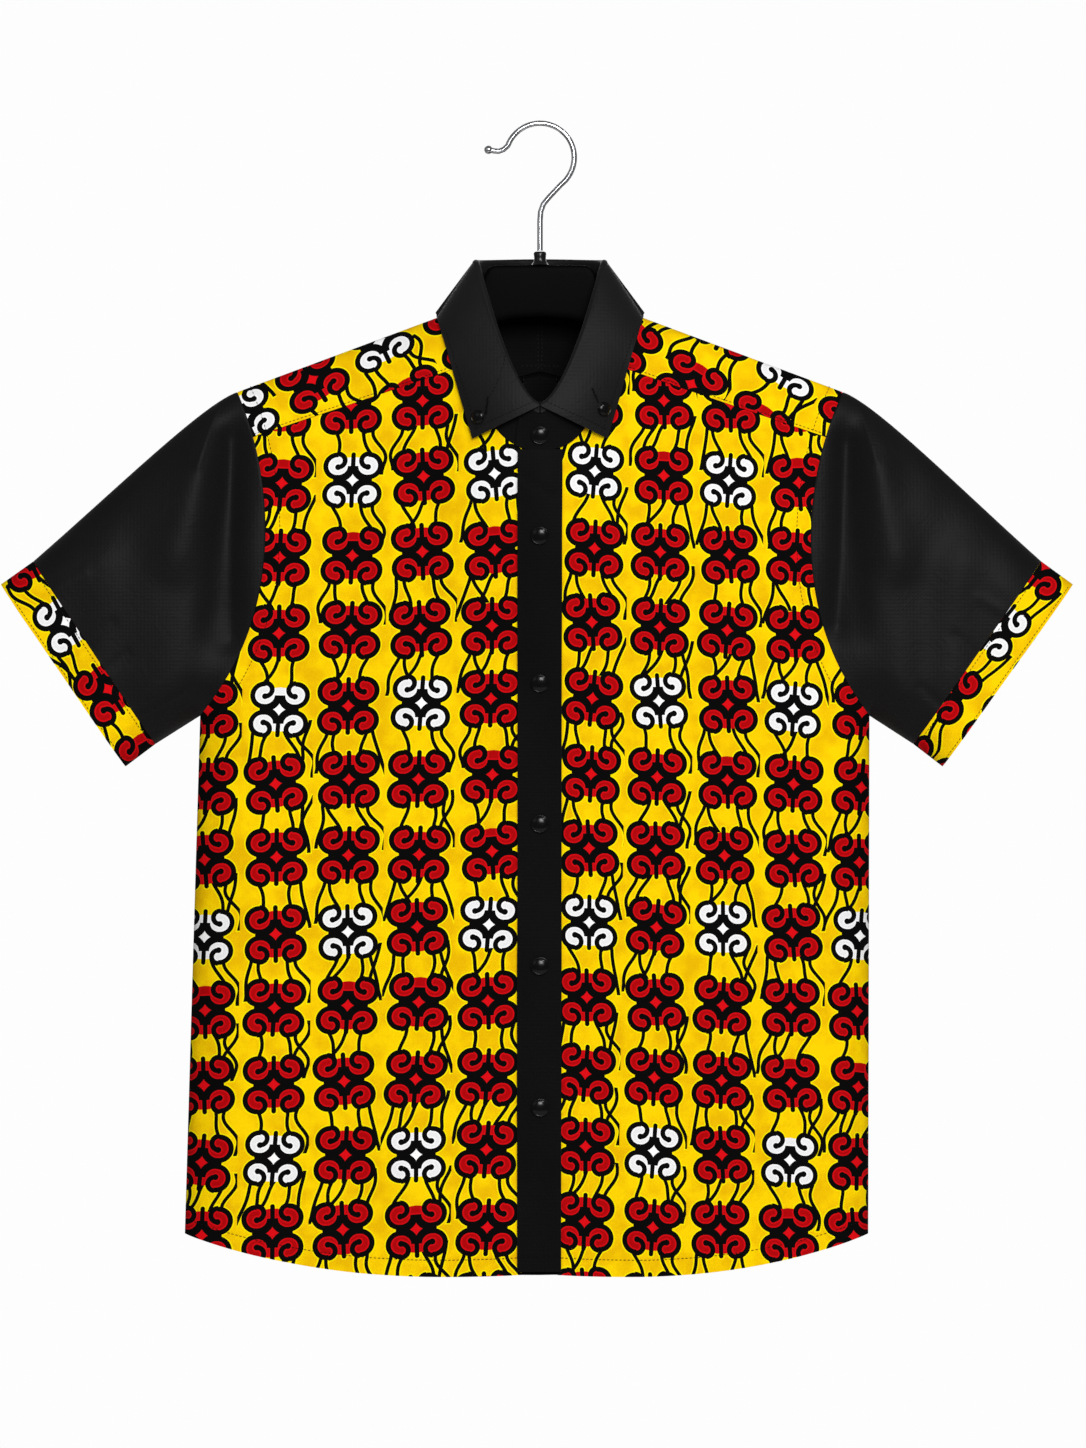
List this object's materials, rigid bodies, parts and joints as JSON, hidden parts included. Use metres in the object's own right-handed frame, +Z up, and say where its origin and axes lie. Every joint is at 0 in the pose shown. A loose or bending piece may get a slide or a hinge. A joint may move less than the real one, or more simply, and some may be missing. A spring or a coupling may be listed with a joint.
{
  "type": "short-sleeved african print shirt on a hanger",
  "caption": "Short-sleeved shirt of yellow, red and black printed cotton with black sleeves, collar and back, hung open-hemmed on a plastic hanger with a wire hook.",
  "frame": {"origin": "inside of the hook's bend, where a rail carries the hanger", "axes": "+Z up along the hanger's stem, +Y from the shirt's front to its back, +X towards the wearer's left"},
  "size_m": [0.836, 0.1101, 0.9018],
  "materials": {
    "printed_cotton": "matt plain-weave cotton, printed",
    "black_cotton": "matt plain-weave cotton, dyed",
    "black_resin": "polished resin",
    "black_plastic": "satin moulded plastic",
    "chromed_steel": "bright plated wire"
  },
  "bodies": {
    "root": {"front_right": "printed_cotton", "front_left": "printed_cotton", "back": "black_cotton", "yoke_right": "printed_cotton", "yoke_left": "printed_cotton", "yoke_lining_right": "black_cotton", "yoke_lining_left": "black_cotton", "sleeve_right": "black_cotton", "sleeve_left": "black_cotton", "cuff_right": "printed_cotton", "cuff_left": "printed_cotton", "placket": "black_cotton", "placket_under": "black_cotton", "collar_stand": "black_cotton", "collar_leaf": "black_cotton", "button_1": "black_resin", "button_2": "black_resin", "button_3": "black_resin", "button_4": "black_resin", "button_5": "black_resin", "button_stand": "black_resin", "button_tip_right": "black_resin", "button_tip_left": "black_resin", "hanger": "black_plastic", "hanger_boss": "black_plastic", "hanger_hook": "chromed_steel"}
  },
  "joints": []
}
